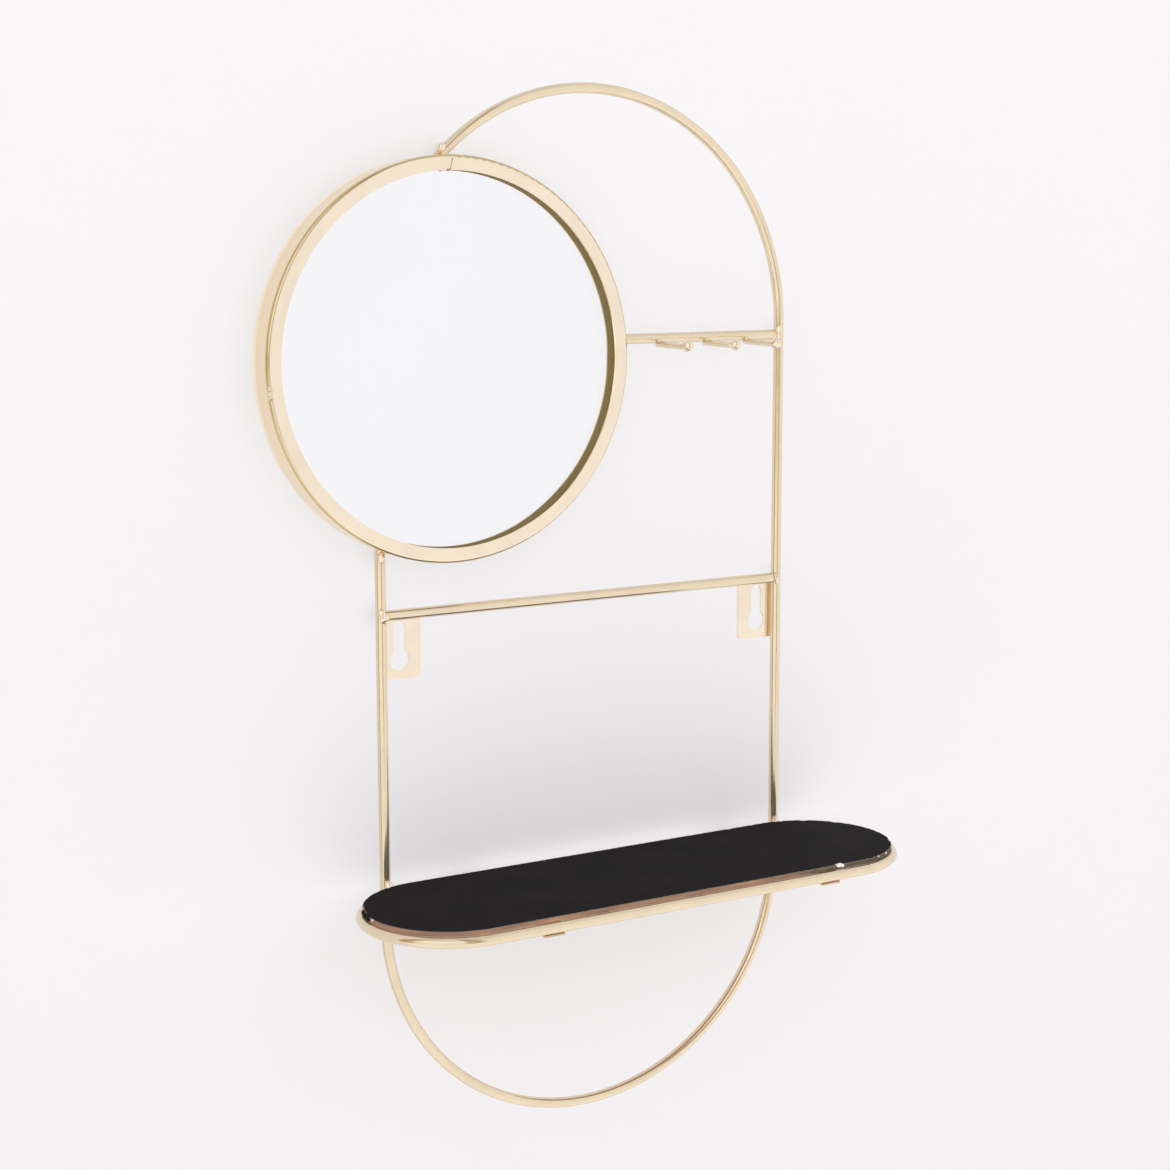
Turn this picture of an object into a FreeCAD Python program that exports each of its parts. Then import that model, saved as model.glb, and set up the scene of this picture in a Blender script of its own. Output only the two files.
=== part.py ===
import FreeCAD, Part
import math
import os

# Wall mirror with hooks and a shelf, welded from round wire.
# Millimetres. X runs right, Y into the wall, Z up.
# Y = 0 is the wall plane, Z = 0 the centres of the two keyhole entry holes.

V = FreeCAD.Vector

# Wire frame
FRAME_WIDTH = 226.0
FRAME_HEIGHT = 497.0
WIRE_D = 5.0
WELD_SINK = 0.3
TOP_ARC_ABOVE_HOLES = 149.5
HOOK_BAR_BELOW_ARC = 5.9
CROSSBAR_BELOW_ARC = 128.0
COPE_SHARE = 0.4

# Keyhole plates
PLATE_T = 1.2
PLATE_INNER_EDGE = 10.9
PLATE_OVERLAP = 0.8
PLATE_TOP_OVER_BAR = 1.5
PLATE_BELOW_HOLE = 8.9
PLATE_CORNER_R = 2.5
HOLE_INSIDE_POST = 10.35
HOLE_R = 5.0
SLOT_R = 3.1
SLOT_RISE = 14.8

# Mirror
MIRROR_INSIDE_POST = 33.7
MIRROR_BELOW_ARC = 12.9
RING_R = 91.65
RING_DEPTH = 15.4
RING_T = 1.0
RING_BEND_R = 1.6
FLANGE_WIDTH = 6.9
GLASS_T = 5.0
SILVER_T = 0.3
BACKING_T = 3.0
BACKING_GAP = 0.4
CLIP_COUNT = 4
CLIP_WIDTH = 12.0
CLIP_REACH = 7.0
CLIP_T = 1.0

# Hooks
HOOK_SHARES = (0.255, 0.54, 0.789)
HOOK_WIRE_D = 3.0
HOOK_DROP = 2.8
HOOK_REACH = 25.7
HOOK_SLOPE = 1.0
HOOK_LOW_AT = 19.0
HOOK_TURN_R = 45.0
HOOK_BALL_R = 2.6

# Shelf
SHELF_ABOVE_BOTTOM_ARC = 12.9
STRAIGHT_INSIDE_POST = 10.8
SHELF_RING_R = 40.5
POST_GAP = 1.7
BOARD_INSET = 0.5
BOARD_SEAT = 0.1
BOARD_CORE_T = 1.9
BOARD_FACING_T = 0.4
TAB_INSIDE_LEFT = 29.7
TAB_INSIDE_RIGHT = 17.7
TAB_WIDTH = 10.0
TAB_LENGTH = 16.0
TAB_T = 0.9
TAB_GAP = 0.2
TAB_BEND_R = 0.8
TAB_OVERHANG = 0.8
SCREW_FROM_TAB_END = 5.0
SCREW_R = 1.25
SCREW_HOLE_R = 1.5
SCREW_BITE = 1.4
SCREW_HEAD_R = 2.75
SCREW_HEAD_T = 1.8
SCREW_HEAD_ROUND = 0.9

# Weld beads
BEAD_R = 3.2
BEAD_FORWARD = 1.0
HOOK_BEAD_R = 1.5
HOOK_BEAD_UP = 1.4
HOOK_BEAD_FORWARD = 2.0
SHELF_BEAD_R = 2.3
SHELF_BEAD_OVER_BOARD = 0.2

# Sizes that follow
WIRE_R = WIRE_D / 2
POST_X = FRAME_WIDTH / 2 - WIRE_R
FRAME_HALF_STRAIGHT = (FRAME_HEIGHT - FRAME_WIDTH) / 2
WIRE_Y = -(PLATE_T + WIRE_R - WELD_SINK)
TOP_ARC_Z = TOP_ARC_ABOVE_HOLES
FRAME_MID_Z = TOP_ARC_Z - FRAME_HALF_STRAIGHT
BOTTOM_ARC_Z = FRAME_MID_Z - FRAME_HALF_STRAIGHT
HOOK_BAR_Z = TOP_ARC_Z - HOOK_BAR_BELOW_ARC
CROSSBAR_Z = TOP_ARC_Z - CROSSBAR_BELOW_ARC
BAR_END_X = POST_X - (1 - COPE_SHARE) * WIRE_R
HOLE_X = POST_X - HOLE_INSIDE_POST
MIRROR_X = MIRROR_INSIDE_POST - POST_X
MIRROR_Z = TOP_ARC_Z - MIRROR_BELOW_ARC
GLASS_R = RING_R - RING_BEND_R
GLASS_FRONT_Y = -RING_DEPTH + RING_T
SILVER_FRONT_Y = GLASS_FRONT_Y + GLASS_T
BACKING_FRONT_Y = SILVER_FRONT_Y + SILVER_T
CLIP_FRONT_Y = BACKING_FRONT_Y + BACKING_T
RING_RIGHT_X = MIRROR_X + RING_R
HOOK_X = [RING_RIGHT_X + share * (POST_X - RING_RIGHT_X) for share in HOOK_SHARES]
HOOK_Z = HOOK_BAR_Z - HOOK_DROP
SHELF_Z = BOTTOM_ARC_Z + SHELF_ABOVE_BOTTOM_ARC
SHELF_HALF_STRAIGHT = POST_X - STRAIGHT_INSIDE_POST
BEND_TO_POST = SHELF_RING_R + WIRE_D + POST_GAP
SHELF_TO_POST = math.sqrt(BEND_TO_POST ** 2 - STRAIGHT_INSIDE_POST ** 2)
SHELF_MID_Y = WIRE_Y - SHELF_TO_POST
BOARD_R = SHELF_RING_R - BOARD_INSET
BOARD_BOTTOM_Z = SHELF_Z + WIRE_R + BOARD_SEAT
BOARD_TOP_Z = BOARD_BOTTOM_Z + BOARD_CORE_T + BOARD_FACING_T
TAB_LEFT_X = TAB_INSIDE_LEFT - SHELF_HALF_STRAIGHT
TAB_RIGHT_X = SHELF_HALF_STRAIGHT - TAB_INSIDE_RIGHT
TAB_RISER = WIRE_R + TAB_GAP
TAB_BOTTOM_Z = SHELF_Z - WIRE_R - TAB_GAP - TAB_T

ALONG_X = V(1, 0, 0)
ALONG_Y = V(0, 1, 0)
ALONG_Z = V(0, 0, 1)
# Slanted, so that the seam of a bead is clear of the seams of the wires.
BEAD_POLE = V(1, 2, 3)


def round_face(middle, heading, radius):
    circle = Part.Circle(middle, heading, radius).toShape()
    return Part.Face(Part.Wire([circle]))


def stadium_rod(middle, along, across, half, radius):
    """Closed loop of wire: two straights joined by two half circles."""
    axis = along.cross(across)
    bend_middle = middle + along * half
    start = round_face(middle - along * half + across * radius, along, WIRE_R)
    end = round_face(bend_middle + across * radius, along, WIRE_R)
    straight = start.extrude(along * (2 * half))
    bend = end.revolve(bend_middle, axis * -1, 180)
    one_half = straight.fuse(bend)
    other_half = one_half.copy()
    other_half.rotate(middle, axis, 180)
    return one_half.fuse(other_half).removeSplitter()


def stadium_slab(middle, half, radius, thickness):
    """Flat slab with two half-round ends along X."""
    left = middle - ALONG_X * half
    right = middle + ALONG_X * half
    side = ALONG_Y * radius
    tip = ALONG_X * radius
    edges = [
        Part.makeLine(left - side, right - side),
        Part.Arc(right - side, right + tip, right + side).toShape(),
        Part.makeLine(right + side, left + side),
        Part.Arc(left + side, left - tip, left - side).toShape(),
    ]
    return Part.Face(Part.Wire(edges)).extrude(ALONG_Z * thickness)


def disc(middle_x, middle_z, radius, front_y, depth):
    """Round slab whose axis is along Y."""
    return Part.makeCylinder(radius, depth, V(middle_x, front_y, middle_z), ALONG_Y)


def largest(shape):
    """Biggest solid of a cut, so that no sliver is kept."""
    return max(shape.Solids, key=lambda solid: solid.Volume)


def frame_wire(ring_space):
    """The bent outer wire; the mirror ring takes the place of its upper left."""
    loop = stadium_rod(V(0, WIRE_Y, FRAME_MID_Z), ALONG_Z, ALONG_X, FRAME_HALF_STRAIGHT, POST_X)
    return largest(loop.cut(ring_space))


def bar(start_x, end_x, z, others):
    """Straight wire along X, coped to the pieces that it meets."""
    rod = Part.makeCylinder(WIRE_R, end_x - start_x, V(start_x, WIRE_Y, z), ALONG_X)
    return largest(rod.cut(others))


def keyhole_plate(side, others):
    """Flat plate behind a post, with a round entry and a slot above it."""
    inner = HOLE_X - PLATE_INNER_EDGE
    outer = POST_X + PLATE_OVERLAP
    low = -PLATE_BELOW_HOLE
    high = CROSSBAR_Z + PLATE_TOP_OVER_BAR
    plate = Part.makeBox(outer - inner, PLATE_T, high - low, V(inner, -PLATE_T, low))
    corners = [e for e in plate.Edges if e.Length < 1.01 * PLATE_T and e.CenterOfMass.x < HOLE_X]
    plate = plate.makeFillet(PLATE_CORNER_R, corners)
    entry = disc(HOLE_X, 0, HOLE_R, -PLATE_T, PLATE_T)
    slot_end = disc(HOLE_X, SLOT_RISE, SLOT_R, -PLATE_T, PLATE_T)
    slot = Part.makeBox(2 * SLOT_R, PLATE_T, SLOT_RISE, V(HOLE_X - SLOT_R, -PLATE_T, 0))
    plate = plate.cut(entry.fuse(slot).fuse(slot_end))
    if side < 0:
        plate = plate.mirror(V(0, 0, 0), ALONG_X)
    return largest(plate.cut(others))


def mirror_ring():
    """Sheet ring with a wall to the wall plane and a narrow flange in front."""
    bend = RING_R - RING_BEND_R
    bend_y = -RING_DEPTH + RING_BEND_R
    inside = RING_R - RING_T
    flange = RING_R - FLANGE_WIDTH
    inner_bend_r = RING_BEND_R - RING_T
    half = math.sqrt(0.5)

    def at(r, y):
        return V(MIRROR_X + r, y, MIRROR_Z)

    def on_bend(radius):
        return at(bend + radius * half, bend_y - radius * half)

    edges = [
        Part.makeLine(at(RING_R, 0), at(RING_R, bend_y)),
        Part.Arc(at(RING_R, bend_y), on_bend(RING_BEND_R), at(bend, -RING_DEPTH)).toShape(),
        Part.makeLine(at(bend, -RING_DEPTH), at(flange, -RING_DEPTH)),
        Part.makeLine(at(flange, -RING_DEPTH), at(flange, GLASS_FRONT_Y)),
        Part.makeLine(at(flange, GLASS_FRONT_Y), at(bend, GLASS_FRONT_Y)),
        Part.Arc(at(bend, GLASS_FRONT_Y), on_bend(inner_bend_r), at(inside, bend_y)).toShape(),
        Part.makeLine(at(inside, bend_y), at(inside, 0)),
        Part.makeLine(at(inside, 0), at(RING_R, 0)),
    ]
    profile = Part.Face(Part.Wire(edges))
    return profile.revolve(V(MIRROR_X, 0, MIRROR_Z), ALONG_Y, 360)


def mirror_clips():
    """Small tabs on the inside of the ring that hold the backing."""
    inside = RING_R - RING_T
    bore = disc(MIRROR_X, MIRROR_Z, inside, CLIP_FRONT_Y, CLIP_T)
    clips = []
    for i in range(CLIP_COUNT):
        corner = V(inside - CLIP_REACH, CLIP_FRONT_Y, -CLIP_WIDTH / 2)
        clip = Part.makeBox(2 * CLIP_REACH, CLIP_T, CLIP_WIDTH, corner)
        clip.rotate(V(0, 0, 0), ALONG_Y, 360 * (i + 0.5) / CLIP_COUNT)
        clip.translate(V(MIRROR_X, 0, MIRROR_Z))
        clips.append(largest(clip.common(bore)))
    return clips


def hook_parts(x, hook_bar):
    """Thin wire that runs out under the bar, dips and turns up to a ball."""
    slope = math.radians(HOOK_SLOPE)
    turn_at = HOOK_LOW_AT - HOOK_TURN_R * math.sin(slope)
    turn_z = HOOK_Z - turn_at * math.tan(slope)
    axle = V(x, WIRE_Y - HOOK_LOW_AT, turn_z + HOOK_TURN_R * math.cos(slope))
    end_turn = math.asin((HOOK_REACH - HOOK_LOW_AT) / HOOK_TURN_R)
    tip = axle + V(0, -math.sin(end_turn), -math.cos(end_turn)) * HOOK_TURN_R
    back = V(0, math.cos(slope), math.sin(slope))
    section = round_face(V(x, WIRE_Y - turn_at, turn_z), back, HOOK_WIRE_D / 2)
    straight = section.extrude(back * (turn_at / math.cos(slope)))
    bend = section.revolve(axle, ALONG_X * -1, HOOK_SLOPE + math.degrees(end_turn))
    ball = Part.makeSphere(HOOK_BALL_R, tip)
    rod = straight.fuse(bend).removeSplitter()
    return largest(rod.cut([ball, hook_bar])), ball


def shelf_ring():
    middle = V(0, SHELF_MID_Y, SHELF_Z)
    return stadium_rod(middle, ALONG_X, ALONG_Y, SHELF_HALF_STRAIGHT, SHELF_RING_R)


def board_slab(bottom_z, thickness):
    return stadium_slab(V(0, SHELF_MID_Y, bottom_z), SHELF_HALF_STRAIGHT, BOARD_R, thickness)


def screw_place(x, front):
    """Screw axis where it meets the underside of its tab."""
    inward = TAB_LENGTH - SCREW_FROM_TAB_END
    return V(x, SHELF_MID_Y + front * (SHELF_RING_R - inward), BOARD_BOTTOM_Z - TAB_T)


def shelf_tab(x, front):
    """Folded strip: a leg under the wire, a riser inside it and a leg under the board."""
    wire_y = SHELF_MID_Y + front * SHELF_RING_R

    def at(inward, z):
        return V(x - TAB_WIDTH / 2, wire_y - front * inward, z)

    under_board = BOARD_BOTTOM_Z - TAB_T
    lower_outside = at(TAB_RISER + TAB_T, TAB_BOTTOM_Z)
    lower_inside = at(TAB_RISER, TAB_BOTTOM_Z + TAB_T)
    upper_outside = at(TAB_RISER, BOARD_BOTTOM_Z)
    upper_inside = at(TAB_RISER + TAB_T, under_board)
    outline = [
        at(-TAB_OVERHANG, TAB_BOTTOM_Z),
        lower_outside,
        upper_inside,
        at(TAB_LENGTH, under_board),
        at(TAB_LENGTH, BOARD_BOTTOM_Z),
        upper_outside,
        lower_inside,
        at(-TAB_OVERHANG, TAB_BOTTOM_Z + TAB_T),
    ]
    strip = Part.Face(Part.makePolygon(outline + outline[:1])).extrude(ALONG_X * TAB_WIDTH)
    outer_r = TAB_BEND_R + TAB_T
    for corner in (lower_inside, upper_inside):
        strip = strip.makeFillet(TAB_BEND_R, [edge_along_x(strip, corner)])
    for corner in (lower_outside, upper_outside):
        strip = strip.makeFillet(outer_r, [edge_along_x(strip, corner)])
    hole = Part.makeCylinder(SCREW_HOLE_R, TAB_T, screw_place(x, front))
    return largest(strip.cut(hole))


def edge_along_x(strip, corner):
    """The strip's edge that runs along X from a corner of its outline."""
    middle = corner + ALONG_X * (TAB_WIDTH / 2)
    return min(strip.Edges, key=lambda edge: edge.CenterOfMass.distanceToPoint(middle))


def tab_screw(x, front):
    """Pan-head screw up through a tab into the board."""
    flat = SCREW_HEAD_R - SCREW_HEAD_ROUND
    low = -SCREW_HEAD_T
    half = SCREW_HEAD_ROUND * math.sqrt(0.5)
    high = TAB_T + SCREW_BITE
    round_middle = V(flat, 0, low + SCREW_HEAD_ROUND)
    on_round = round_middle + V(half, 0, -half)
    rim = V(SCREW_HEAD_R, 0, round_middle.z)
    edges = [
        Part.makeLine(V(0, 0, low), V(flat, 0, low)),
        Part.Arc(V(flat, 0, low), on_round, rim).toShape(),
        Part.makeLine(rim, V(SCREW_HEAD_R, 0, 0)),
        Part.makeLine(V(SCREW_HEAD_R, 0, 0), V(SCREW_R, 0, 0)),
        Part.makeLine(V(SCREW_R, 0, 0), V(SCREW_R, 0, high)),
        Part.makeLine(V(SCREW_R, 0, high), V(0, 0, high)),
        Part.makeLine(V(0, 0, high), V(0, 0, low)),
    ]
    screw = Part.Face(Part.Wire(edges)).revolve(V(0, 0, 0), ALONG_Z, 360)
    screw.translate(screw_place(x, front))
    return screw


def arc_meets_ring():
    """Point of the top arc's centre line on the outside of the mirror ring."""
    dx = MIRROR_X
    dz = MIRROR_Z - TOP_ARC_Z
    apart = math.hypot(dx, dz)
    along = (POST_X ** 2 - RING_R ** 2 + apart ** 2) / (2 * apart)
    across = math.sqrt(POST_X ** 2 - along ** 2)
    x = (along * dx + across * dz) / apart
    z = (along * dz - across * dx) / apart
    return x, TOP_ARC_Z + z


def bead(middle, radius, others):
    """Lump of weld metal that fills the corner between pieces."""
    return cut_down(Part.makeSphere(radius, middle, BEAD_POLE), others)


def cut_down(lump, others):
    for other in others:
        lump = largest(lump.cut(other))
    return lump


def frame_beads(others):
    lean_y = WIRE_Y - BEAD_FORWARD
    ring_drop = math.sqrt(RING_R ** 2 - (MIRROR_X + POST_X) ** 2)
    ring_right = math.sqrt(RING_R ** 2 - (HOOK_BAR_Z - MIRROR_Z) ** 2)
    top_x, top_z = arc_meets_ring()
    spots = [
        V(BAR_END_X, lean_y, CROSSBAR_Z),
        V(-BAR_END_X, lean_y, CROSSBAR_Z),
        V(BAR_END_X, lean_y, HOOK_BAR_Z),
        V(MIRROR_X + ring_right, lean_y, HOOK_BAR_Z),
        V(-POST_X, lean_y, MIRROR_Z - ring_drop),
        V(top_x, lean_y, top_z),
    ]
    return [bead(spot, BEAD_R, others) for spot in spots]


def hook_bead(x, others):
    middle = V(x, WIRE_Y - HOOK_BEAD_FORWARD, HOOK_Z + HOOK_BEAD_UP)
    return bead(middle, HOOK_BEAD_R, others)


def shelf_bead(side, others):
    """Weld that runs down the front of a post and across to the shelf ring."""
    to_bend = V(-STRAIGHT_INSIDE_POST, -SHELF_TO_POST, 0) * (1 / BEND_TO_POST)
    post = V(POST_X, WIRE_Y, 0)
    high = post + to_bend * WIRE_R + ALONG_Z * (BOARD_TOP_Z + SHELF_BEAD_OVER_BOARD)
    low = post + to_bend * (WIRE_R + POST_GAP / 2) + ALONG_Z * SHELF_Z
    run = low - high
    lump = Part.makeCylinder(SHELF_BEAD_R, run.Length, high, run)
    lump = lump.fuse([Part.makeSphere(SHELF_BEAD_R, end, run) for end in (high, low)])
    if side < 0:
        lump = lump.mirror(V(0, 0, 0), ALONG_X)
    return cut_down(lump.removeSplitter(), others)


def save(name, *solids):
    shape = solids[0] if len(solids) == 1 else Part.makeCompound(list(solids))
    shape.exportStep("parts/" + name + ".step")


os.makedirs("parts", exist_ok=True)

ring_space = disc(MIRROR_X, MIRROR_Z, RING_R, -RING_DEPTH, RING_DEPTH)
frame = frame_wire(ring_space)
crossbar = bar(-BAR_END_X, BAR_END_X, CROSSBAR_Z, [frame])
hook_bar = bar(MIRROR_X, BAR_END_X, HOOK_BAR_Z, [frame, ring_space])
plates = [keyhole_plate(side, [frame, crossbar]) for side in (-1, 1)]
hooks = [hook_parts(x, hook_bar) for x in HOOK_X]
ring = shelf_ring()

tab_places = [(x, front) for front in (-1, 1) for x in (TAB_LEFT_X, TAB_RIGHT_X)]
tabs = [shelf_tab(x, front) for x, front in tab_places]
screws = [tab_screw(x, front) for x, front in tab_places]
board = largest(board_slab(BOARD_BOTTOM_Z, BOARD_CORE_T).cut(screws))

save("frame_wire", frame)
save("crossbar", crossbar)
save("hook_bar", hook_bar)
save("keyhole_plate_left", plates[0])
save("keyhole_plate_right", plates[1])
for name, hook in zip(("left", "middle", "right"), hooks):
    save("hook_" + name, hook[0])
    save("hook_ball_" + name, hook[1])
save("mirror_ring", mirror_ring())
save("mirror_glass", disc(MIRROR_X, MIRROR_Z, GLASS_R, GLASS_FRONT_Y, GLASS_T))
save("mirror_silvering", disc(MIRROR_X, MIRROR_Z, GLASS_R, SILVER_FRONT_Y, SILVER_T))
backing_r = RING_R - RING_T - BACKING_GAP
save("mirror_backing", disc(MIRROR_X, MIRROR_Z, backing_r, BACKING_FRONT_Y, BACKING_T))
save("mirror_clips", *mirror_clips())
save("shelf_ring", ring)
save("shelf_board", board)
save("shelf_facing", board_slab(BOARD_BOTTOM_Z + BOARD_CORE_T, BOARD_FACING_T))
for name, tab in zip(("front_left", "front_right", "back_left", "back_right"), tabs):
    save("shelf_tab_" + name, tab)
save("shelf_screws", *screws)
save("weld_beads_frame", *frame_beads([frame, crossbar, hook_bar, ring_space] + plates))
save("weld_beads_hooks", *[hook_bead(x, [hook_bar, hook[0]]) for x, hook in zip(HOOK_X, hooks)])
save("weld_beads_shelf", *[shelf_bead(side, [frame, ring]) for side in (-1, 1)])
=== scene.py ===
import math

import bmesh
import bpy
from mathutils import Matrix, Vector, noise


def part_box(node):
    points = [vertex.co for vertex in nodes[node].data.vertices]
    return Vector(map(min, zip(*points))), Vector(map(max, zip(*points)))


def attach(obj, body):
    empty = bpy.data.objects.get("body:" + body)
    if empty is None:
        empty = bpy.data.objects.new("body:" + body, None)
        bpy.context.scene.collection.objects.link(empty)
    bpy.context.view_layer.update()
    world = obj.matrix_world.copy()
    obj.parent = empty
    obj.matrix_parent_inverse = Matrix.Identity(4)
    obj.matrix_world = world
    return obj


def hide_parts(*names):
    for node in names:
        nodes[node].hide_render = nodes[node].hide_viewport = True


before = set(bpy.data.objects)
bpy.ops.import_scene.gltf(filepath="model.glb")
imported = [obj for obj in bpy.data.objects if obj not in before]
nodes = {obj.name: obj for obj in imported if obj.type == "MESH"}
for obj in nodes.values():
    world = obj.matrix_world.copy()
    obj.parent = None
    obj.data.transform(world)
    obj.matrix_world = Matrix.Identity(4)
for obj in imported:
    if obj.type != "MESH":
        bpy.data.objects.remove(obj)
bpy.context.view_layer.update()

MM = 0.001

# Camera, from the photograph's viewing angle
CAMERA_PLACE = Vector((-0.5443, -0.9035, 0.1941))
CAMERA_YAW = 31.07
CAMERA_PITCH = 9.04
CAMERA_ROLL = -0.11
CAMERA_LENS = 68.3
CAMERA_SENSOR = 36
CAMERA_NEAR = 0.01

# Stage
WALL_Y = 0.6 * MM
WALL_HALF_WIDTH = 2.2
WALL_TOP = 1.6
FLOOR_Z = -0.75
FLOOR_FRONT = -3.2
LIGHT_THROUGH = 4 * MM

# Surroundings
WORLD_STRENGTH = 1.26
BACKDROP = (0.8, 0.8, 0.8)
WHITE = (1.0, 1.0, 1.0)
PALE = (0.84, 0.84, 0.84)
DIM = (0.76, 0.76, 0.76)
# By height, from 0 straight down to 1 straight up
HEIGHT_STOPS = [
    (0.0, (0.42, 0.38, 0.33)),
    (0.18, (0.72, 0.70, 0.68)),
    (0.36, WHITE),
    (0.75, WHITE),
    (0.93, (0.80, 0.80, 0.80)),
    (1.0, (0.66, 0.66, 0.66)),
]
# By degrees from straight out of the wall, to the right
BEARING_STOPS = [
    (-100, DIM),
    (-92, (0.335, 0.22, 0.08)),
    (-79, (0.36, 0.25, 0.10)),
    (-68, WHITE),
    (-16, WHITE),
    (-5, (0.38, 0.29, 0.17)),
    (6, (0.35, 0.27, 0.16)),
    (14, PALE),
    (75, PALE),
    (120, DIM),
]
# The same at eye level, where the left of the surroundings is brown
LEVEL_BEARING_STOPS = [
    (-100, DIM),
    (-92, (0.335, 0.22, 0.08)),
    (-79, (0.36, 0.26, 0.12)),
    (-60, (0.64, 0.51, 0.33)),
    (-12, (0.53, 0.42, 0.27)),
    (6, (0.36, 0.29, 0.18)),
    (15, PALE),
    (75, PALE),
    (120, DIM),
]
# Share of the eye-level tones, by height
LEVEL_STOPS = [(0.435, 0), (0.465, 1), (0.505, 1), (0.525, 0)]

# Key light
KEY_STRENGTH = 0.85
KEY_ANGLE = 60
KEY_TOWARDS = Vector((0.2, 0.95, 0.25))

# Colours, linear
WALL_COLOUR = (0.64, 0.64, 0.663)
WALL_GLOW = 0.197
FLOOR_COLOUR = (0.9, 0.9, 0.9)
FLOOR_GLOW = 0.35
STAGE_GLOW_TINT = (1, 0.985, 1)
GOLD_WIRE = (0.77, 0.645, 0.47)
GOLD_SHEET = (0.86, 0.735, 0.582)
# Painted reflections on the mirror ring, in the lacquer of its flange: a warmer side wall and a
# browner line on its bend
GOLD_SIDE_PAINTED_REFLECTION = (0.93, 0.765, 0.54)
GOLD_BEND_PAINTED_REFLECTION = (0.62, 0.475, 0.25)
GOLD_SEAM = (0.42, 0.33, 0.22)
# Painted shade: the shelf tabs under the ring, in the gold lacquer darkened to brown
GOLD_TAB_PAINTED_SHADE = (0.58, 0.38, 0.20)
GOLD_INSIDE = (0.85, 0.62, 0.28)
# Painted glow on the flange's back, for its colour as seen in the mirror
PAINTED_GLOW_INSIDE = (0.108, 0.081, 0.017)
GLASS_TINT = (0.978, 0.973, 0.98)
SILVER_STOPS = [(0.35, (0.90, 0.905, 0.91)), (0.65, (0.915, 0.92, 0.93))]
HARDBOARD_BROWN = (0.22, 0.135, 0.08)
SCREW_GREY = (0.52, 0.50, 0.46)
BOARD_BROWN = (0.325, 0.172, 0.10)
BOARD_DARK = (0.085, 0.06, 0.035)
# Painted shade: the dark gap between the board's edge and the ring it lies on
BOARD_GAP_PAINTED_SHADE = (0.07, 0.045, 0.032)
FACING_BLACK = (0.0075, 0.006, 0.0063)
FACING_EDGE = (0.21, 0.175, 0.145)
PALE_FIBRE = (0.82, 0.78, 0.72)

# Patterns: where most of a noise lies, where its tones stand, and how far the lacquer's gloss strays
NOISE_LOW = 0.3
NOISE_HIGH = 0.7
TONE_STOPS = (0.3, 0.52, 0.75)
GLOSS_LESS = 0.04
GLOSS_MORE = 0.05

# Depths behind the mirror ring's front over which the painted reflections of its bend and its side
# wall set in
BEND_DEPTH = (0.05 * MM, 0.3 * MM)
SIDE_DEPTH = (1.1 * MM, 1.9 * MM)

# Mirror pane, and the coat on the flange's back
PANE_CLEAR = 0.06 * MM
PANE_BEVEL = 0.5 * MM
PANE_STEPS = 160
FLANGE_WIDTH = 6.9 * MM
COAT_NEAR = PANE_CLEAR / 6
COAT_FAR = PANE_CLEAR / 2

# Lumps: share of ripple, its scale, its shift from seed to seed, and how fine the mesh is
LUMP_RIPPLE = 0.22
LUMP_SCALE = 1.6
LUMP_SHIFT = Vector((3.7, 1.3, 2.1))
LUMP_STEPS = 3

# Shares of the wire's radius by which welds lie in front of its centre line
FRAME_WELD_OUT = 0.9
HOOK_WELD_OUT = 0.8

# Frame welds: joint, X and Z of both ends from it and radius in millimetres, and seed
FRAME_BEADS = [
    ("crossbar_left", (-0.9, 2.9), (0.4, -2.6), 1.9, 1),
    ("crossbar_left", (1.4, 1.2), (1.9, -1.6), 1.5, 7),
    ("crossbar_right", (-1.5, 2.2), (-1.0, -2.2), 1.5, 2),
    ("hook_bar_right", (-0.6, 4.2), (-2.2, 1.2), 1.4, 3),
    ("hook_bar_right", (-2.0, 0.8), (-1.4, -1.8), 1.0, 8),
    ("hook_bar_left", (0.2, 1.4), (0.3, -1.6), 1.2, 4),
    ("left_post_top", (-0.5, -0.8), (-0.3, -4.6), 1.9, 5),
]
# Top weld: degrees from the joint and distance out of the ring, at both ends
TOP_WELD_ENDS = ((0.9, 1.2 * MM), (-0.2, 4.4 * MM))
TOP_WELD_R = 1.9 * MM
TOP_WELD_SEED = 6

# Hook welds and tips
HOOKS = ("left", "middle", "right")
HOOK_WELD_RUN = Vector((1.8, 0, 0.3)) * MM
HOOK_WELD_R = 1.0 * MM
HOOK_WELD_SEED = 11
TIP_R = 2.75 * MM
TIP_SEED = 51

# Shelf welds: head behind the post's front and down from the top, foot inward, forward and up
SHELF_WELD_SINK = 0.4 * MM
SHELF_WELD_DOWN = 1.6 * MM
SHELF_WELD_IN = 1.4 * MM
SHELF_WELD_OUT = 2.0 * MM
SHELF_WELD_UP = 3.0 * MM
SHELF_WELD_R = 1.8 * MM
SHELF_WELD_SEED = 21

# Ring seam, with a blob at its foot
SEAM_TOP_ANGLE = 90.3
SEAM_FOOT_ANGLE = 91.2
SEAM_TOP_IN = 1.5 * MM
SEAM_FOOT_IN = 0.1 * MM
SEAM_WIDTH = 0.4 * MM
SEAM_PROUD = 0.03 * MM
BLOB_TURNS = (0.1, 1.1)
BLOB_DEPTH = 0.3 * MM
BLOB_R = 0.6 * MM
BLOB_SEED = 35

# Ring spatter
SPATTER_ANGLE = 187.0
SPATTER_LENGTH = 6.0 * MM
SPATTER_COUNT = 3
SPATTER_IN = 1.1 * MM
SPATTER_SLANT = 0.3 * MM
SPATTER_DEPTH = 0.5 * MM
SPATTER_R = 1.25 * MM
SPATTER_SEED = 31

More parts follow.
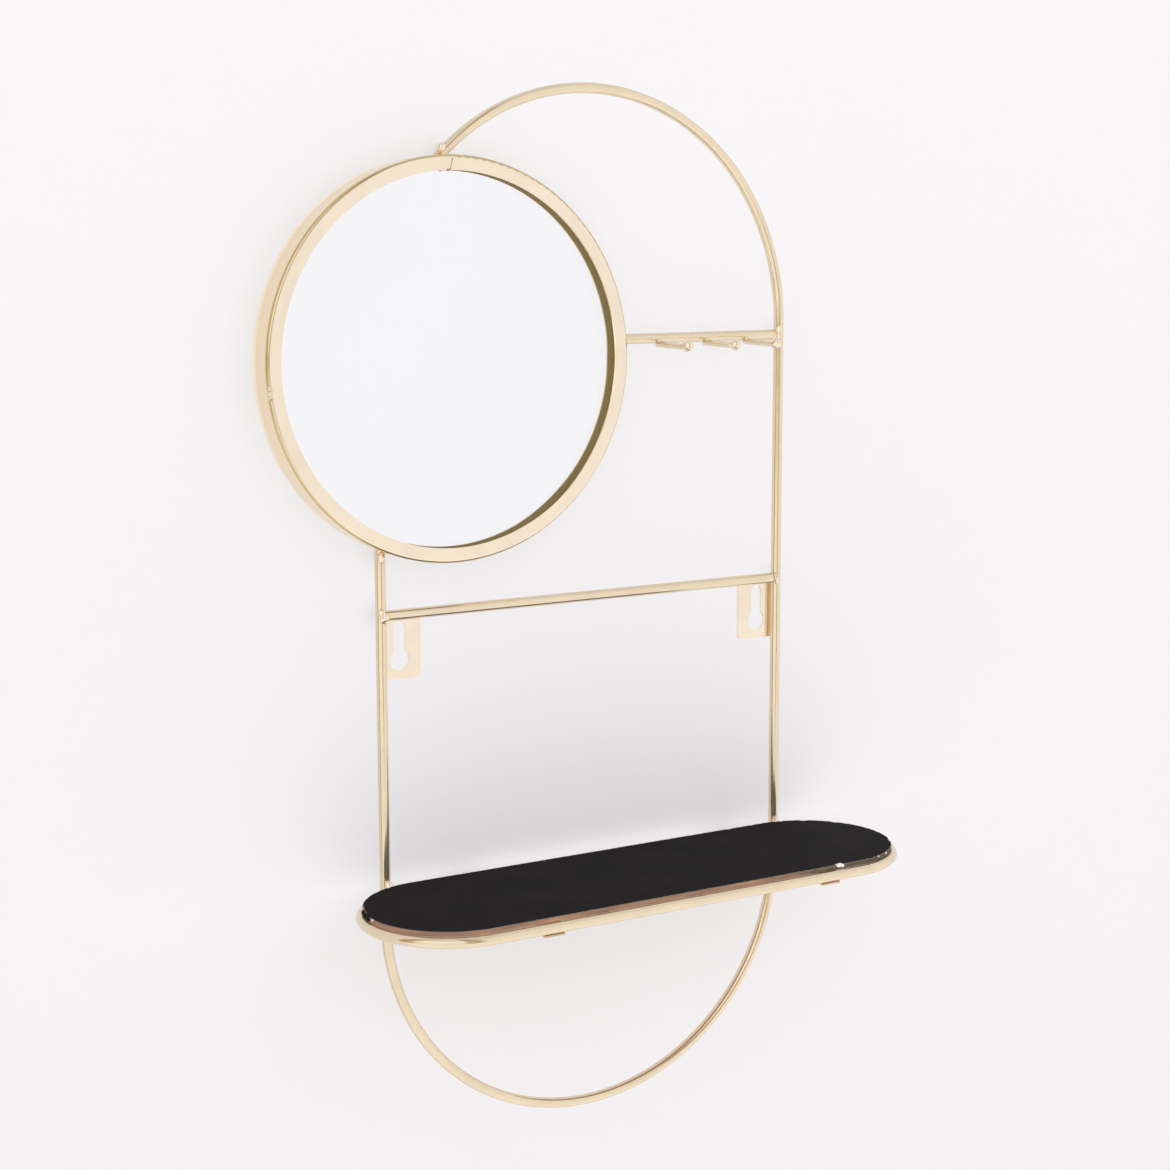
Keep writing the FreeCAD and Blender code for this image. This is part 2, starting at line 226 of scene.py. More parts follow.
# Facing edge
EDGE_STEP = 0.8 * MM
FRAY_DEPTH = 0.45 * MM
FRAY_SCALE = 480
NOTCH_DEPTH = 0.8 * MM
NOTCH_SCALE = 300
NOTCH_SHIFT = Vector((7, 3, 1))
NOTCH_FLOOR = 0.36
NOTCH_GAIN = 4
TEAR = Vector((-137.5, 13.5, 0)) * MM
TEAR_LENGTH = 13 * MM
TEAR_DEPTH = 0.9 * MM

# Board edge: where it darkens towards the right end, and the strip of painted shade under it
DARKENING_SPAN = (70 * MM, 115 * MM)
DARKENING_RAGGED = 60 * MM
DARKENING_TILT = 0.5
SHADE_STRIP_INSET = 0.06 * MM
SHADE_STRIP_WIDTH = 0.8 * MM
SHADE_STRIP_DROP = 0.09 * MM

# Facing flap: degrees round the left end, half sizes and drop in millimetres
FLAP_ANGLES = (-17, -11, -5)
FLAP_SIZE = (0.8, 2.4, 1.2)
FLAP_DROP = 1.0
FLAP_SEED = 61

# Flakes at the front: X, distance in from the edge, drop and half sizes in millimetres, and turn
FRONT_FLAKES = [
    (87.2, 0.2, 0.5, (2.3, 0.5, 1.1), -8),
    (89.4, 0.1, 0.9, (1.2, 0.4, 0.8), 4),
]
# Flakes at the ends: side, degrees round the end, drop and half sizes in millimetres
END_FLAKES = [
    (-1, 2, 0.5, (0.5, 1.0, 0.5)),
    (-1, -24, 0.5, (0.5, 1.2, 0.6)),
    (1, 2, 0.3, (0.5, 0.9, 0.4)),
    (1, 13, 0.9, (0.5, 1.1, 0.5)),
    (1, 31, 0.2, (0.5, 0.8, 0.4)),
    (1, 42, 0.5, (0.5, 0.9, 0.5)),
    (1, 60, 0.5, (0.6, 0.6, 0.5)),
    (1, 71, 0.3, (0.5, 0.6, 0.4)),
]
FLAKE_SEED = 41

# Nodes that share a finish or cast no shade
WIRES = ("frame_wire", "crossbar", "hook_bar", "shelf_ring")
PLATES = ("keyhole_plate_left", "keyhole_plate_right")
MIRROR = ("mirror_ring", "mirror_silvering", "mirror_backing", "mirror_clips")
TAB_ENDS = ("front_left", "front_right", "back_left", "back_right")


def middle_of(node):
    low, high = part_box(node)
    return (Vector(low) + Vector(high)) / 2


def half_of(node):
    low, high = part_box(node)
    return (Vector(high) - Vector(low)) / 2


# Places that follow from the frame
WIRE_R = half_of("crossbar").z
WIRE_Y = middle_of("crossbar").y
POST_X = half_of("frame_wire").x - WIRE_R
TOP_ARC_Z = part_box("frame_wire")[1][2] - WIRE_R - POST_X
CROSSBAR_Z = middle_of("crossbar").z
HOOK_BAR_Z = middle_of("hook_bar").z
RING = middle_of("mirror_ring")
RING_R = half_of("mirror_ring").x
RING_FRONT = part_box("mirror_ring")[0][1]
FACING = middle_of("shelf_facing")
FACING_R = half_of("shelf_facing").y
FACING_HALF = half_of("shelf_facing").x - FACING_R


def feed(tree, value, socket):
    """Join an output to a socket, or set the socket to a number or colour."""
    if isinstance(value, bpy.types.NodeSocket):
        tree.links.new(value, socket)
    else:
        socket.default_value = value


def math_of(tree, operation, *values):
    node = tree.nodes.new("ShaderNodeMath")
    node.operation = operation
    for value, socket in zip(values, node.inputs):
        feed(tree, value, socket)
    return node.outputs["Value"]


def axes_of(tree, vector):
    """X, Y and Z of a vector."""
    node = tree.nodes.new("ShaderNodeSeparateXYZ")
    tree.links.new(vector, node.inputs["Vector"])
    return node.outputs


def mix_of(tree, factor, first, second):
    """Colour between two others."""
    node = tree.nodes.new("ShaderNodeMix")
    node.data_type = "RGBA"
    feed(tree, factor, node.inputs["Factor"])
    feed(tree, first, node.inputs["A"])
    feed(tree, second, node.inputs["B"])
    return node.outputs["Result"]


def spread(tree, value, low, high):
    """The value's place between low and high, from 0 to 1."""
    span = tree.nodes.new("ShaderNodeMapRange")
    span.inputs["From Min"].default_value = low
    span.inputs["From Max"].default_value = high
    tree.links.new(value, span.inputs["Value"])
    return span.outputs["Result"]


def ramp_of(tree, factor, stops):
    """Colour by a ramp of the factor."""
    ramp = tree.nodes.new("ShaderNodeValToRGB")
    elements = ramp.color_ramp.elements
    while len(elements) < len(stops):
        elements.new(0.5)
    for element, (at, colour) in zip(elements, stops):
        element.position = at
        element.color = (*colour, 1)
    tree.links.new(factor, ramp.inputs["Fac"])
    return ramp.outputs["Color"]


class Shader:
    """A material's node tree with short calls to add and join nodes."""

    def __init__(self, name):
        self.material = bpy.data.materials.new(name)
        self.material.use_nodes = True
        self.tree = self.material.node_tree
        self.surface = self.tree.nodes["Principled BSDF"]
        self.output = self.tree.nodes["Material Output"]
        self.place = self.tree.nodes.new("ShaderNodeTexCoord").outputs["Object"]

    def join(self, source, socket):
        self.tree.links.new(source, socket)

    def set(self, **values):
        for name, value in values.items():
            self.surface.inputs[name.replace("_", " ")].default_value = value

    def node(self, kind):
        return self.tree.nodes.new(kind)

    def noise(self, scale, detail, stretch=(1, 1, 1)):
        mapping = self.node("ShaderNodeMapping")
        mapping.inputs["Scale"].default_value = stretch
        self.join(self.place, mapping.inputs["Vector"])
        grain = self.node("ShaderNodeTexNoise")
        grain.inputs["Scale"].default_value = scale
        grain.inputs["Detail"].default_value = detail
        self.join(mapping.outputs["Vector"], grain.inputs["Vector"])
        return grain.outputs["Fac"]

    def colour(self, factor, stops):
        """Base colour by a ramp of the factor."""
        self.join(ramp_of(self.tree, factor, stops), self.surface.inputs["Base Color"])

    def roughness(self, factor, low, high):
        """Roughness from low to high over most of a noise."""
        span = self.node("ShaderNodeMapRange")
        span.inputs["From Min"].default_value = NOISE_LOW
        span.inputs["From Max"].default_value = NOISE_HIGH
        span.inputs["To Min"].default_value = low
        span.inputs["To Max"].default_value = high
        self.join(factor, span.inputs["Value"])
        self.join(span.outputs["Result"], self.surface.inputs["Roughness"])

    def bump(self, height, strength, distance):
        bump = self.node("ShaderNodeBump")
        bump.inputs["Strength"].default_value = strength
        bump.inputs["Distance"].default_value = distance
        self.join(height, bump.inputs["Height"])
        self.join(bump.outputs["Normal"], self.surface.inputs["Normal"])


def tint(colour, share):
    return tuple(min(1.0, part * share) for part in colour)


def tones(colour, dark, light):
    """Stops from a darker tone through the colour to a lighter one."""
    return list(zip(TONE_STOPS, (tint(colour, dark), colour, tint(colour, light))))


def gold_shader(name, colour, roughness, grain, metal=1.0):
    """Metallic lacquer: slow changes of tone and gloss, and a fine grain."""
    shader = Shader(name)
    shader.colour(shader.noise(scale=55, detail=4), tones(colour, dark=0.95, light=1.03))
    gloss = shader.noise(scale=130, detail=3)
    shader.roughness(gloss, low=roughness - GLOSS_LESS, high=roughness + GLOSS_MORE)
    shader.bump(shader.noise(scale=1400, detail=2), strength=grain, distance=0.03 * MM)
    shader.set(Metallic=metal)
    return shader


def gold(name, colour, **finish):
    return gold_shader(name, colour, **finish).material


def ring_gold():
    """Lacquer with painted reflections: browner on the ring's bend and warmer on its side wall than
    on its flange.
    """
    shader = gold_shader("gold_ring", GOLD_SHEET, roughness=0.17, grain=0.05)
    base = shader.surface.inputs["Base Color"]
    flange = base.links[0].from_socket
    y = axes_of(shader.tree, shader.place)["Y"]
    past_flange, past_bend = [
        spread(shader.tree, y, RING_FRONT + near, RING_FRONT + far)
        for near, far in (BEND_DEPTH, SIDE_DEPTH)
    ]
    # Painted reflection: the bend line, then the side wall
    wall = ramp_of(shader.tree, past_bend, [(0, GOLD_BEND_PAINTED_REFLECTION), (1, GOLD_SIDE_PAINTED_REFLECTION)])
    shader.join(mix_of(shader.tree, past_flange, flange, wall), base)
    return shader.material


def inside_gold():
    """Dull coat with a painted glow, which sets its colour as seen in the mirror."""
    shader = gold_shader("gold_inside", GOLD_INSIDE, roughness=0.9, grain=0.3)
    shader.set(Emission_Color=(*PAINTED_GLOW_INSIDE, 1), Emission_Strength=1.0)
    return shader.material


def glass():
    """Clear float glass."""
    shader = Shader("clear_glass")
    shader.set(Base_Color=(*GLASS_TINT, 1), Roughness=0.0, IOR=1.5, Transmission_Weight=1.0)
    return shader.material


def silvering():
    shader = Shader("silvering")
    shader.colour(shader.noise(scale=9, detail=2), SILVER_STOPS)
    shader.set(Metallic=1.0, Roughness=0.01)
    return shader.material


def hardboard():
    """Raw brown hardboard with matted fibres."""
    shader = Shader("hardboard")
    fibres = shader.noise(scale=420, detail=6, stretch=(1, 1, 0.3))
    shader.colour(fibres, tones(HARDBOARD_BROWN, dark=0.6, light=1.4))
    shader.bump(fibres, strength=0.4, distance=0.2 * MM)
    shader.set(Roughness=0.8)
    return shader.material


def board_edge():
    """Fibreboard: brown, in fine level layers, its edge darker towards the right end."""
    shader = Shader("board_core")
    tree = shader.tree
    layers = shader.noise(scale=240, detail=5, stretch=(0.25, 0.25, 3.0))
    brown = ramp_of(tree, layers, tones(BOARD_BROWN, dark=0.7, light=1.45))
    dark = ramp_of(tree, layers, tones(BOARD_DARK, dark=0.5, light=2.2))
    x = axes_of(tree, shader.place)["X"]
    ragged_x = math_of(tree, "MULTIPLY_ADD", shader.noise(scale=90, detail=4), DARKENING_RAGGED, x)
    normal = shader.node("ShaderNodeNewGeometry").outputs["Normal"]
    on_edge = math_of(tree, "COMPARE", axes_of(tree, normal)["Z"], 0, DARKENING_TILT)
    darkening = math_of(tree, "MULTIPLY", spread(tree, ragged_x, *DARKENING_SPAN), on_edge)
    shader.join(mix_of(tree, darkening, brown, dark), shader.surface.inputs["Base Color"])
    shader.bump(layers, strength=0.5, distance=0.15 * MM)
    shader.set(Roughness=0.7)
    return shader.material


def black_facing():
    """Matt black sheet with a fine nap and a faint bloom."""
    shader = Shader("black_facing")
    shader.colour(shader.noise(scale=38, detail=5), tones(FACING_BLACK, dark=0.75, light=1.5))
    shader.bump(shader.noise(scale=1500, detail=3), strength=0.35, distance=0.12 * MM)
    shader.set(Roughness=0.8, Specular_IOR_Level=0.1)
    return shader.material


def raw_fibre(name, colour):
    """Torn or cut edge: dry fibres in lighter and darker tones."""
    shader = Shader(name)
    fibres = shader.noise(scale=900, detail=4)
    shader.colour(fibres, tones(colour, dark=0.6, light=1.25))
    shader.bump(fibres, strength=0.5, distance=0.1 * MM)
    shader.set(Roughness=0.85)
    return shader.material


def screw_steel():
    shader = Shader("screw_steel")
    shader.colour(shader.noise(scale=700, detail=3), tones(SCREW_GREY, dark=0.8, light=1.15))
    shader.roughness(shader.noise(scale=900, detail=2), low=0.25, high=0.4)
    shader.set(Metallic=1.0)
    return shader.material


def dress(material, *names):
    for name in names:
        mesh = nodes[name].data
        mesh.materials.clear()
        mesh.materials.append(material)


def light_past(*pieces):
    """Leave out the shade that these pieces would cast on the wall."""
    for piece in pieces:
        piece.visible_shadow = False
        piece.visible_diffuse = False


def add_piece(name, bm, slot, *materials):
    """Turn a closed mesh into a piece of the part."""
    mesh = bpy.data.meshes.new(name)
    bmesh.ops.recalc_face_normals(bm, faces=bm.faces)
    bm.to_mesh(mesh)
    bm.free()
    for material in materials:
        mesh.materials.append(material)
    piece = bpy.data.objects.new(name, mesh)
    bpy.context.collection.objects.link(piece)
    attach(piece, "root")
    return piece


def join_loops(bm, loops, closed=False):
    """Faces from each loop of vertices to the next, and from the last to the first if closed."""
    faces = []
    followers = loops[1:] + loops[:1] if closed else loops[1:]
    for near, far in zip(loops, followers):
        for i in range(len(near)):
            j = (i + 1) % len(near)
            faces.append(bm.faces.new((near[i], near[j], far[j], far[i])))
    return faces


def ring_point(angle, radius, y):
    """Point at an angle round the mirror, from its right, anticlockwise."""
    turn = math.radians(angle)
    return Vector((RING.x + radius * math.cos(turn), y, RING.z + radius * math.sin(turn)))


def turned_loops(bm, profile):
    """A loop of vertices round the mirror's axis for each radius and Y of a profile."""
    angles = [360 * step / PANE_STEPS for step in range(PANE_STEPS)]
    return [[bm.verts.new(ring_point(angle, radius, y)) for angle in angles] for radius, y in profile]


def mirror_pane(material):
    """Glass disc with ground edges, a hair clear of what it lies between."""
    low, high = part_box("mirror_glass")
    front = low[1] + PANE_CLEAR
    back = high[1] - PANE_CLEAR
    edge = (high[0] - low[0]) / 2 - PANE_CLEAR
    profile = [(edge - PANE_BEVEL, front), (edge, front + PANE_BEVEL)]
    profile += [(edge, back - PANE_BEVEL), (edge - PANE_BEVEL, back)]
    bm = bmesh.new()
    loops = turned_loops(bm, profile)
    join_loops(bm, loops)
    bm.faces.new(loops[0])
    bm.faces.new(loops[-1])
    pane = add_piece("mirror_pane", bm, "clear_glass", material)
    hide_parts("mirror_glass")
    light_past(pane)


def flange_inside(material):
    """Dull coat on the back of the flange, seen only in the mirror."""
    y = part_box("mirror_glass")[0][1]
    inner = RING_R - FLANGE_WIDTH + PANE_CLEAR
    outer = half_of("mirror_glass").x
    near = y + COAT_NEAR
    far = y + COAT_FAR
    bm = bmesh.new()
    loops = turned_loops(bm, [(inner, near), (outer, near), (outer, far), (inner, far)])
    join_loops(bm, loops, closed=True)
    add_piece("flange_inside", bm, "gold_sheet", material)


def lump(bm, place, seed):
    """Closed uneven blob: a unit ball with ripples, set in place by a matrix."""
    for vertex in bmesh.ops.create_icosphere(bm, subdivisions=LUMP_STEPS, radius=1)["verts"]:
        ripple = 1 + LUMP_RIPPLE * noise.noise(vertex.co * LUMP_SCALE + seed * LUMP_SHIFT)
        vertex.co = place @ (vertex.co * ripple)
    for face in bm.faces:
        face.smooth = True


def bead(bm, start, end, radius, seed):
    """Weld bead that lies from one point to another."""
    run = end - start
    turn = run.to_track_quat("Z", "Y").to_matrix().to_4x4()
    stretch = Matrix.Diagonal((radius, radius, run.length / 2 + radius / 2, 1))
    lump(bm, Matrix.Translation((start + end) / 2) @ turn @ stretch, seed)


def arc_meets_ring():
    """Angle on the mirror ring where the top arc's centre line meets it."""
    to_ring = Vector((RING.x, RING.z - TOP_ARC_Z))
    apart = to_ring.length
    along = (POST_X ** 2 - RING_R ** 2 + apart ** 2) / (2 * apart)
    across = math.sqrt(POST_X ** 2 - along ** 2)
    heading = to_ring / apart
    spot = heading * along + Vector((heading.y, -heading.x)) * across
    return math.degrees(math.atan2(spot.y - to_ring.y, spot.x - to_ring.x))


def frame_welds(material):
    """Beads where the wires of the frame meet each other and the mirror ring."""
    y = WIRE_Y - FRAME_WELD_OUT * WIRE_R
    ring_side = RING.x + math.sqrt(RING_R ** 2 - (HOOK_BAR_Z - RING.z) ** 2)
    ring_low = RING.z - math.sqrt(RING_R ** 2 - (RING.x + POST_X) ** 2)
    joints = {
        "crossbar_left": Vector((-POST_X, y, CROSSBAR_Z)),
        "crossbar_right": Vector((POST_X, y, CROSSBAR_Z)),
        "hook_bar_left": Vector((ring_side, y, HOOK_BAR_Z)),
        "hook_bar_right": Vector((POST_X, y, HOOK_BAR_Z)),
        "left_post_top": Vector((-POST_X, y, ring_low)),
    }
    bm = bmesh.new()
    for joint, *offsets, radius, seed in FRAME_BEADS:
        start, end = [joints[joint] + Vector((x, 0, z)) * MM for x, z in offsets]
        bead(bm, start, end, radius * MM, seed)
    top = arc_meets_ring()
    start, end = [ring_point(top + turn, RING_R + out, y) for turn, out in TOP_WELD_ENDS]
    bead(bm, start, end, TOP_WELD_R, TOP_WELD_SEED)
    welds = add_piece("frame_welds", bm, "gold_weld", material)
    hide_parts("weld_beads_frame")


def hook_tips(material):
    """Uneven ball on the end of each hook."""
    for seed, name in enumerate(HOOKS, TIP_SEED):
        node = "hook_ball_" + name
        bm = bmesh.new()
        lump(bm, Matrix.Translation(middle_of(node)) @ Matrix.Scale(TIP_R, 4), seed)
        tip = add_piece("hook_tip_" + name, bm, "gold_wire", material)
        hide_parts(node)


def hook_welds(material):
    """A small bead in the corner between the hook bar and each hook."""
    bm = bmesh.new()
    for seed, name in enumerate(HOOKS, HOOK_WELD_SEED):
        x = middle_of("hook_" + name).x
        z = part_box("hook_" + name)[1][2]
        start = Vector((x - HOOK_WELD_RUN.x / 2, WIRE_Y - HOOK_WELD_OUT * WIRE_R, z))
        bead(bm, start, start + HOOK_WELD_RUN, HOOK_WELD_R, seed)
    welds = add_piece("hook_welds", bm, "gold_weld", material)
    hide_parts("weld_beads_hooks")


def shelf_welds(material):
    """Beads that slant from the front of the posts down to the shelf ring."""
    low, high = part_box("weld_beads_shelf")
    front = WIRE_Y - WIRE_R
    bm = bmesh.new()
    for seed, side in enumerate((-1, 1), SHELF_WELD_SEED):
        head = Vector((side * POST_X, front + SHELF_WELD_SINK, high[2] - SHELF_WELD_DOWN))
        foot_x = side * (POST_X - SHELF_WELD_IN)
        foot = Vector((foot_x, front - SHELF_WELD_OUT, low[2] + SHELF_WELD_UP))
        bead(bm, head, foot, SHELF_WELD_R, seed)
    welds = add_piece("shelf_welds", bm, "gold_weld", material)
    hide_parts("weld_beads_shelf")


def ring_seam(material):
    """Butt seam of the bent strip across the flange, with a blob at its foot."""
    outer = RING_R - SEAM_TOP_IN
    inner = RING_R - FLANGE_WIDTH + SEAM_FOOT_IN
    half_turn = math.degrees(SEAM_WIDTH / 2 / RING_R)
    bm = bmesh.new()
    sides = []
    for y in (RING_FRONT - SEAM_PROUD, RING_FRONT + SEAM_PROUD):
        corners = [ring_point(SEAM_TOP_ANGLE + turn, outer, y) for turn in (-half_turn, half_turn)]
        corners += [ring_point(SEAM_FOOT_ANGLE + turn, inner, y) for turn in (half_turn, -half_turn)]
        sides.append([bm.verts.new(corner) for corner in corners])
        bm.faces.new(sides[-1])
    join_loops(bm, sides)
    blob_y = RING_FRONT + BLOB_DEPTH
    start, end = [ring_point(SEAM_FOOT_ANGLE + turn, inner, blob_y) for turn in BLOB_TURNS]
    bead(bm, start, end, BLOB_R, BLOB_SEED)
    add_piece("ring_seam", bm, "gold_sheet", material)


def ring_spatter(material):
    """Weld spatter on the bend of the ring."""
    bm = bmesh.new()
    turn = math.degrees(SPATTER_LENGTH / 2 / RING_R)
    radius = RING_R - SPATTER_IN
    y = RING_FRONT + SPATTER_DEPTH
    for i in range(SPATTER_COUNT):
        near = SPATTER_ANGLE - turn + 2 * turn * i / SPATTER_COUNT
        start = ring_point(near, radius, y)
        end = ring_point(near + turn / 2, radius + SPATTER_SLANT, y)
        bead(bm, start, end, SPATTER_R, SPATTER_SEED + i)
    add_piece("ring_spatter", bm, "gold_wire", material)


def stadium(radius, frayed=False):
    """Round-ended outline about the shelf's middle, as X and Y."""
    straight_steps = round(2 * FACING_HALF / EDGE_STEP)
    arc_steps = round(math.pi * FACING_R / EDGE_STEP)
    outline = []

    def add(x, out):
        spot = Vector((x, 0)) + out * radius
        if frayed:
            spot -= out * fray(spot.to_3d())
        outline.append((FACING.x + spot.x, FACING.y + spot.y))

    for side in (1, -1):
        for step in range(arc_steps):
            turn = math.pi * (step / arc_steps - side / 2)
            add(side * FACING_HALF, Vector((math.cos(turn), math.sin(turn))))
        for step in range(straight_steps):
            add(side * FACING_HALF * (1 - 2 * step / straight_steps), Vector((0, side)))
    return outline


def fray(spot):
    """How far the cut edge of the facing falls short at a spot, more towards the right."""
    worn = 1 + max(0.0, spot.x) / FACING_HALF
    fine = max(0.0, noise.noise(spot * FRAY_SCALE)) * FRAY_DEPTH
    deep = max(0.0, noise.noise(spot * NOTCH_SCALE + NOTCH_SHIFT) - NOTCH_FLOOR)
    notch = deep * NOTCH_GAIN * NOTCH_DEPTH
    torn = TEAR_DEPTH if (spot - TEAR).length < TEAR_LENGTH / 2 else 0
    return worn * fine + min(worn * notch, NOTCH_DEPTH) + torn


def shelf_facing(top, edge):
    """Black sheet with a frayed edge."""
    low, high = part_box("shelf_facing")
    outline = stadium(FACING_R, frayed=True)
    bm = bmesh.new()
    upper = [bm.verts.new((*spot, high[2])) for spot in outline]
    lower = [bm.verts.new((*spot, low[2])) for spot in outline]
    bm.faces.new(upper)
    bm.faces.new(lower)
    for side in join_loops(bm, [lower, upper]):
        side.material_index = 1
    sheet = add_piece("facing_sheet", bm, "black_facing", top, edge)
    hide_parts("shelf_facing")


def painted_gap_shade(material):
    """Dark strip of painted shade under the edge of the board, down to the wire that it lies on."""
    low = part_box("shelf_board")[0]
    bm = bmesh.new()
    loops = []
    for inset, rise in ((0, 1), (0, -1), (SHADE_STRIP_WIDTH, -1), (SHADE_STRIP_WIDTH, 1)):
        z = low[2] + rise * SHADE_STRIP_DROP
        loops.append([bm.verts.new((*spot, z)) for spot in stadium(FACING_R - SHADE_STRIP_INSET - inset)])
    join_loops(bm, loops, closed=True)
    add_piece("painted_gap_shade", bm, "board_core", material)


def on_end(side, angle):
    """Place on the facing's round end, by the angle from its tip to the front."""
    turn = math.radians(angle)
    return side * (FACING_HALF + FACING_R * math.cos(turn)), FACING.y - FACING_R * math.sin(turn)


def chip(bm, x, y, drop, size, angle, seed):
    """Uneven chip of sheet, its drop below the shelf's top and its half sizes in millimetres."""
    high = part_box("shelf_facing")[1][2]
    turn = Matrix.Rotation(math.radians(angle), 4, "Z")
    scale = Matrix.Diagonal((*(part * MM for part in size), 1))
    spot = Matrix.Translation(Vector((x, y, high - drop * MM)))
    lump(bm, spot @ turn @ scale, seed)


def facing_flap(material):
    """Torn strip of the facing, folded down over the board's left end."""
    bm = bmesh.new()
    for seed, angle in enumerate(FLAP_ANGLES, FLAP_SEED):
        chip(bm, *on_end(-1, angle), FLAP_DROP, FLAP_SIZE, angle, seed)
    add_piece("facing_flap", bm, "black_facing", material)


def torn_flakes(material):
    """Pale flakes where the facing is torn at the shelf's edge."""
    front = FACING.y - FACING_R
    flakes = [(x * MM, front + inward * MM, *form) for x, inward, *form in FRONT_FLAKES]
    flakes += [(*on_end(side, angle), *form, angle) for side, angle, *form in END_FLAKES]
    bm = bmesh.new()
    for seed, flake in enumerate(flakes, FLAKE_SEED):
        chip(bm, *flake, seed)
    add_piece("torn_flakes", bm, "black_facing", material)


def build_camera():
    data = bpy.data.cameras.new("camera")
    data.lens = CAMERA_LENS
    data.sensor_width = CAMERA_SENSOR
    data.clip_start = CAMERA_NEAR
    camera = bpy.data.objects.new("camera", data)
    turn = Matrix.Rotation(math.radians(-CAMERA_YAW), 4, "Z")
    tilt = Matrix.Rotation(math.radians(90 - CAMERA_PITCH), 4, "X")
    roll = Matrix.Rotation(math.radians(CAMERA_ROLL), 4, "Z")
    camera.matrix_world = Matrix.Translation(CAMERA_PLACE) @ turn @ tilt @ roll
    bpy.context.collection.objects.link(camera)
    bpy.context.scene.camera = camera


def stage_paint(name, colour, glow):
    """Pale paint, lit a little from within as a light table is."""
    shader = Shader(name)
    shader.set(Base_Color=(*colour, 1), Roughness=0.9)
    shader.set(Emission_Color=(*STAGE_GLOW_TINT, 1), Emission_Strength=glow)
    return shader


def wall_paint():
    """Paint that is clear from behind, and for rays shorter than LIGHT_THROUGH."""
    shader = stage_paint("wall_paint", WALL_COLOUR, WALL_GLOW)
    shader.bump(shader.noise(scale=60, detail=3), strength=0.02, distance=0.3 * MM)
    ray_length = shader.node("ShaderNodeLightPath").outputs["Ray Length"]
    close = math_of(shader.tree, "LESS_THAN", ray_length, LIGHT_THROUGH)
    behind = shader.node("ShaderNodeNewGeometry").outputs["Backfacing"]
    mix = shader.node("ShaderNodeMixShader")
    shader.join(math_of(shader.tree, "MAXIMUM", close, behind), mix.inputs["Fac"])
    shader.join(shader.surface.outputs["BSDF"], mix.inputs[1])
    shader.join(shader.node("ShaderNodeBsdfTransparent").outputs["BSDF"], mix.inputs[2])
    shader.join(mix.outputs["Shader"], shader.output.inputs["Surface"])
    return shader.material


def stage_plane(name, corners, material):
    mesh = bpy.data.meshes.new(name)
    mesh.from_pydata(corners, [], [(0, 1, 2, 3)])
    mesh.materials.append(material)
    sheet = bpy.data.objects.new(name, mesh)
    bpy.context.collection.objects.link(sheet)


def build_stage():
    left = -WALL_HALF_WIDTH
    right = WALL_HALF_WIDTH
    foot = [(left, WALL_Y, FLOOR_Z), (right, WALL_Y, FLOOR_Z)]
    head = [(right, WALL_Y, WALL_TOP), (left, WALL_Y, WALL_TOP)]
    front = [(left, FLOOR_FRONT, FLOOR_Z), (right, FLOOR_FRONT, FLOOR_Z)]
    stage_plane("wall", foot + head, wall_paint())
    floor_paint = stage_paint("floor_paint", FLOOR_COLOUR, FLOOR_GLOW)
    stage_plane("floor", front + foot[::-1], floor_paint.material)


def surroundings(tree):
    """White with narrow brown gaps and a brown left at eye level, dimmer straight up and down."""
    x, y, z = axes_of(tree, tree.nodes.new("ShaderNodeTexCoord").outputs["Generated"])
    height = spread(tree, z, -1, 1)
    bearing = math_of(tree, "ARCTAN2", x, math_of(tree, "MULTIPLY", y, -1))
    turn = spread(tree, bearing, -math.pi, math.pi)
    plain, level = [
        ramp_of(tree, turn, [((angle + 180) / 360, colour) for angle, colour in stops])
        for stops in (BEARING_STOPS, LEVEL_BEARING_STOPS)
    ]
    at_level = ramp_of(tree, height, [(at, (share, share, share)) for at, share in LEVEL_STOPS])
    both = tree.nodes.new("ShaderNodeVectorMath")
    both.operation = "MULTIPLY"
    tree.links.new(ramp_of(tree, height, HEIGHT_STOPS), both.inputs[0])
    tree.links.new(mix_of(tree, at_level, plain, level), both.inputs[1])
    return both.outputs["Vector"]


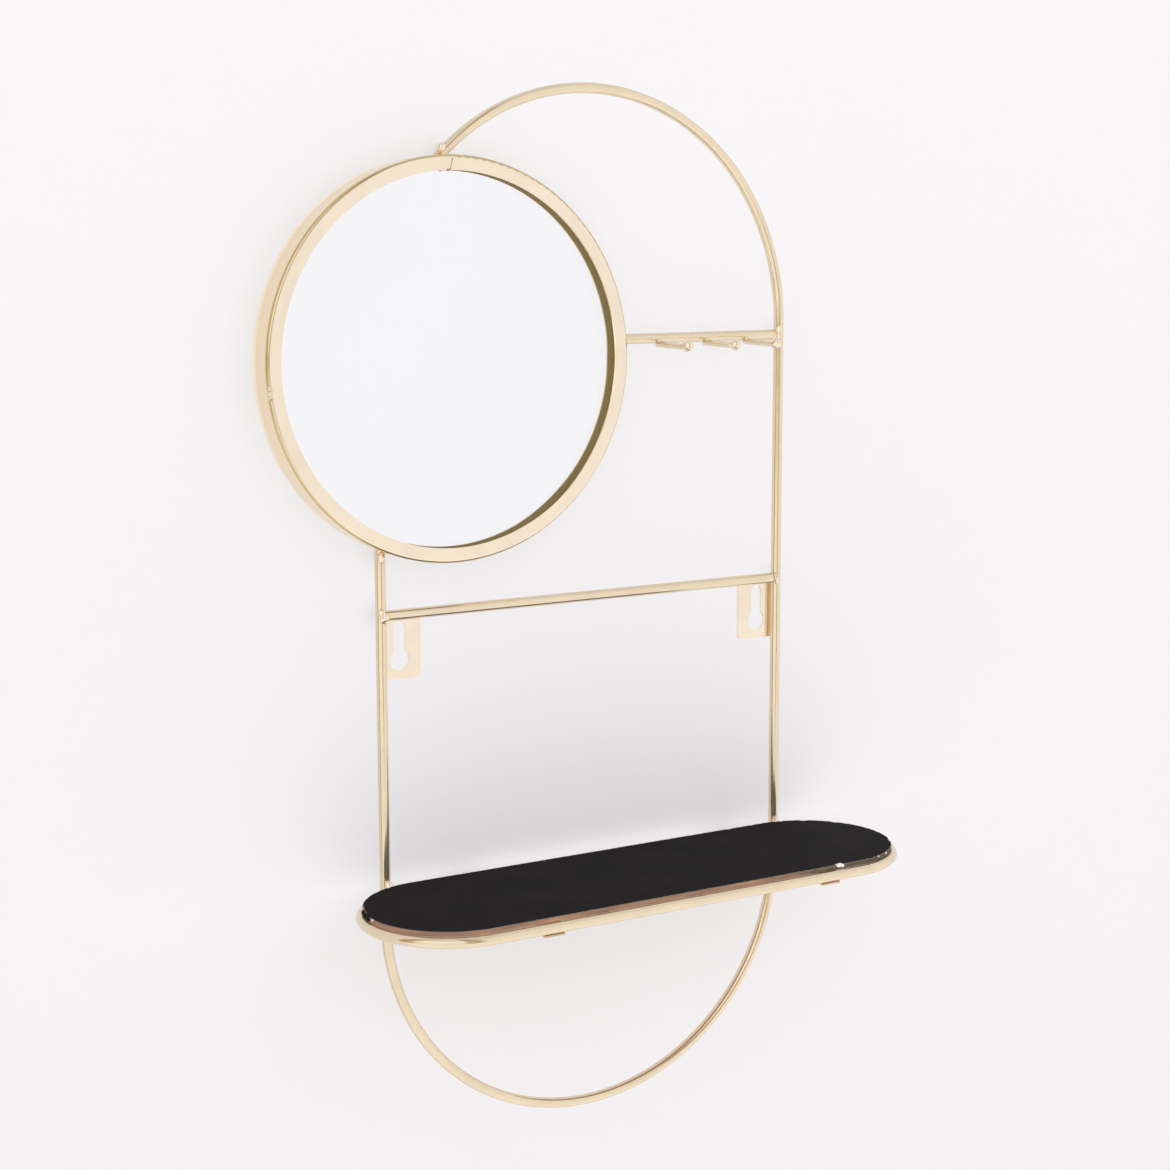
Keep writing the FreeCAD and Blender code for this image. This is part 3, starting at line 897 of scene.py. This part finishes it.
def build_world():
    """Surroundings for light and reflections, with a plain backdrop for the camera."""
    world = bpy.data.worlds.new("studio")
    bpy.context.scene.world = world
    world.use_nodes = True
    tree = world.node_tree
    background = tree.nodes["Background"]
    camera_ray = tree.nodes.new("ShaderNodeLightPath").outputs["Is Camera Ray"]
    seen = mix_of(tree, camera_ray, surroundings(tree), (*BACKDROP, 1))
    tree.links.new(seen, background.inputs["Color"])
    background.inputs["Strength"].default_value = WORLD_STRENGTH


def build_key():
    """Soft key from the front, a little from the left and below, left out of reflections."""
    data = bpy.data.lights.new("key", "SUN")
    data.energy = KEY_STRENGTH
    data.angle = math.radians(KEY_ANGLE)
    key = bpy.data.objects.new("key", data)
    key.visible_glossy = False
    key.rotation_euler = KEY_TOWARDS.to_track_quat("-Z", "Y").to_euler()
    bpy.context.collection.objects.link(key)


bpy.context.scene.view_settings.view_transform = "Standard"
build_camera()
build_stage()
build_world()
build_key()

wire_gold = gold("gold_wire", GOLD_WIRE, roughness=0.14, grain=0.05, metal=0.8)
sheet_gold = gold("gold_sheet", GOLD_SHEET, roughness=0.17, grain=0.05)
weld_gold = gold("gold_weld", GOLD_SHEET, roughness=0.20, grain=0.4)
tab_gold_painted_shade = gold("gold_tab_painted_shade", GOLD_TAB_PAINTED_SHADE, roughness=0.36, grain=0.2)
dress(wire_gold, *WIRES)
dress(wire_gold, *("hook_" + name for name in HOOKS))
dress(ring_gold(), "mirror_ring")
dress(sheet_gold, "mirror_clips", *PLATES)
dress(tab_gold_painted_shade, *("shelf_tab_" + end for end in TAB_ENDS))
dress(silvering(), "mirror_silvering")
dress(hardboard(), "mirror_backing")
dress(board_edge(), "shelf_board")
dress(screw_steel(), "shelf_screws")
light_past(*(nodes[name] for name in WIRES + PLATES + MIRROR))

mirror_pane(glass())
flange_inside(inside_gold())
frame_welds(weld_gold)
hook_tips(gold("gold_tip", GOLD_SHEET, roughness=0.10, grain=0.6))
hook_welds(weld_gold)
shelf_welds(weld_gold)
ring_seam(gold("gold_seam", GOLD_SEAM, roughness=0.4, grain=0.3))
ring_spatter(wire_gold)
facing_black = black_facing()
shelf_facing(facing_black, raw_fibre("facing_edge", FACING_EDGE))
facing_flap(facing_black)
# A dark strip of painted shade in the gap under the board's edge
painted_gap_shade(raw_fibre("painted_gap_shade", BOARD_GAP_PAINTED_SHADE))
torn_flakes(raw_fibre("torn_fibre", PALE_FIBRE))
